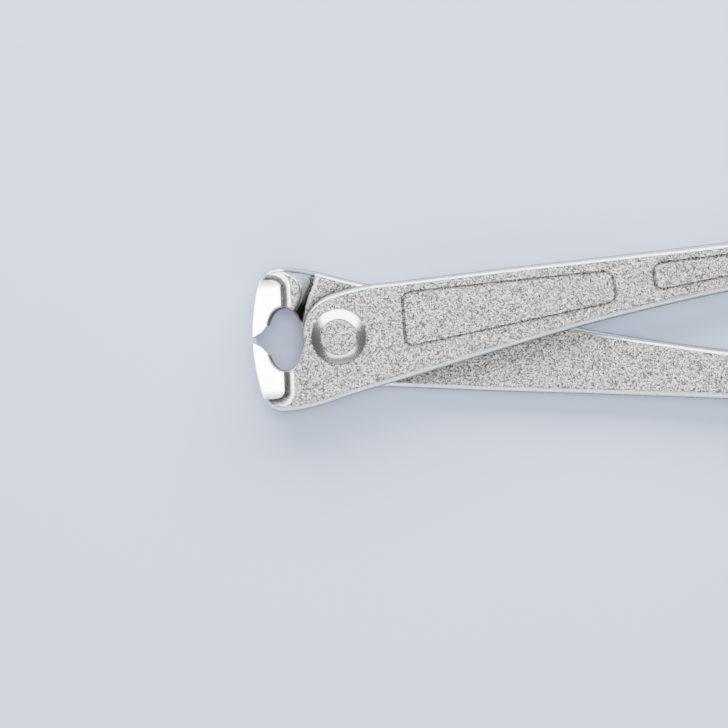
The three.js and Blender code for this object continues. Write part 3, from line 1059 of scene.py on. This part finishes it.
def add_surroundings():
    world = bpy.data.worlds.new("studio")
    world.use_nodes = True
    world.node_tree.nodes.clear()
    sky = add_node(world.node_tree, "ShaderNodeBackground",
                   inputs={"Color": (*linear_colour(SKY["colour"]), 1), "Strength": SKY["strength"]})
    add_node(world.node_tree, "ShaderNodeOutputWorld", inputs={"Surface": sky.outputs[0]})
    bpy.context.scene.world = world


# ---------------------------------------------------------------- properties, operators and panel


def length_property(name, default_mm, description, min_mm=0.0):
    return FloatProperty(
        name=name,
        description=description,
        default=default_mm * MM,
        min=min_mm * MM,
        unit="LENGTH",
    )


class NippersSizes(bpy.types.PropertyGroup):
    flash_height: length_property(
        "Flash Height", 0.05, "How proud the trimmed flash stands along the parting line"
    )
    groove_depth: length_property("Groove Depth", 0.3, "Depth of the engraved lines round the panels")
    groove_width: length_property("Groove Width", 0.7, "Width of the engraved lines round the panels", 0.1)
    rivet_segments: IntProperty(
        name="Rivet Segments",
        description="Steps round the rivet",
        default=96,
        min=12,
    )


def colour_property(name, hex_code, description):
    return FloatVectorProperty(
        name=name,
        description=description,
        subtype="COLOR",
        size=3,
        min=0.0,
        max=1.0,
        default=linear_colour(hex_code),
    )


class NippersFinishes(bpy.types.PropertyGroup):
    zinc: colour_property("Zinc", "A1A09C", "Colour of the plated skin")
    ground_steel: colour_property("Ground Steel", "E6E6E4", "Colour of the ground flats and edges")
    # Colour of the painted shade in the engraved lines, round the joint, round the rivet's head and at the
    # flat's end
    painted_shade: colour_property(
        "Painted Shade", "262521", "Colour of the oil and dust in the engraved lines and round the joint"
    )
    floor: colour_property("Floor", "B7C4E4", "Colour of the worktop")


class NIPPERS_OT_front_lever(bpy.types.Operator):
    """Forge the lever whose half of the joint lies in front"""

    bl_idname = "nippers.front_lever"
    bl_label = "Front Lever"

    def execute(self, context):
        vertices, faces, masks = lever_mesh(context.scene.nippers_sizes)
        lever = new_mesh_object("forged_front_lever", vertices, faces, masks)
        lever.data.materials.append(zinc_plated_blasted_forging(context.scene.nippers_finishes))
        smooth_shaded(lever, angle=40)
        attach(lever, "front_half")
        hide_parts("front_lever")
        return {"FINISHED"}


class NIPPERS_OT_back_lever(bpy.types.Operator):
    """Turn a second forging half a turn, so that its half of the joint lies behind"""

    bl_idname = "nippers.back_lever"
    bl_label = "Back Lever"

    def execute(self, context):
        forging = bpy.data.objects["forged_front_lever"]
        lever = built_by_nodes("forged_back_lever", forging.data.copy(), half_turn_tree(), {
            "Turn": math.pi,
            "Joint Height": PIVOT.z,
            "Finish": forging.data.materials[0],
        })
        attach(lever, "back_half")
        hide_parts("back_lever")
        return {"FINISHED"}


class NIPPERS_OT_rivet(bpy.types.Operator):
    """Close the rivet that holds the two levers"""

    bl_idname = "nippers.rivet"
    bl_label = "Joint Rivet"

    def execute(self, context):
        sizes = context.scene.nippers_sizes
        profile = rivet_profile()
        host = bpy.data.meshes.new("rivet_profile")
        edges = [(i, i + 1) for i in range(len(profile) - 1)]
        host.from_pydata([((r - SHANK_RADIUS) * MM, z * MM, 0) for r, z in profile], edges, [])
        rivet = built_by_nodes("formed_rivet", host, lathe_tree(), {
            "Ring Radius": SHANK_RADIUS * MM,
            "Segments": sizes.rivet_segments,
            "Axis Place": PIVOT,
            "Finish": zinc_plated_formed_rivet(context.scene.nippers_finishes),
        })
        smooth_shaded(rivet, angle=35)
        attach(rivet, "front_half")
        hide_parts("joint_rivet")
        return {"FINISHED"}


class NIPPERS_OT_stage(bpy.types.Operator):
    """Set the floor, the soft lights and the camera"""

    bl_idname = "nippers.stage"
    bl_label = "Stage"

    def execute(self, context):
        add_floor(context.scene.nippers_finishes)
        add_surroundings()
        for softbox in SOFTBOXES:
            add_softbox(*softbox)
        add_camera()
        return {"FINISHED"}


class NIPPERS_PT_parts(bpy.types.Panel):
    """Sizes, finishes and pieces of the nippers"""

    bl_label = "Nippers"
    bl_space_type = "VIEW_3D"
    bl_region_type = "UI"
    bl_category = "Nippers"

    def draw(self, context):
        for group in (context.scene.nippers_sizes, context.scene.nippers_finishes):
            box = self.layout.box()
            for name in group.__annotations__:
                box.prop(group, name)
        for operator in OPERATORS:
            self.layout.operator(operator.bl_idname)


OPERATORS = (NIPPERS_OT_front_lever, NIPPERS_OT_back_lever, NIPPERS_OT_rivet, NIPPERS_OT_stage)
CLASSES = (NippersSizes, NippersFinishes, *OPERATORS, NIPPERS_PT_parts)


def register():
    for cls in CLASSES:
        bpy.utils.register_class(cls)
    bpy.types.Scene.nippers_sizes = PointerProperty(type=NippersSizes)
    bpy.types.Scene.nippers_finishes = PointerProperty(type=NippersFinishes)


def unregister():
    del bpy.types.Scene.nippers_finishes
    del bpy.types.Scene.nippers_sizes
    for cls in reversed(CLASSES):
        bpy.utils.unregister_class(cls)


def main():
    register()
    bpy.ops.nippers.front_lever()
    bpy.ops.nippers.back_lever()
    bpy.ops.nippers.rivet()
    bpy.ops.nippers.stage()


if __name__ == "__main__":
    main()
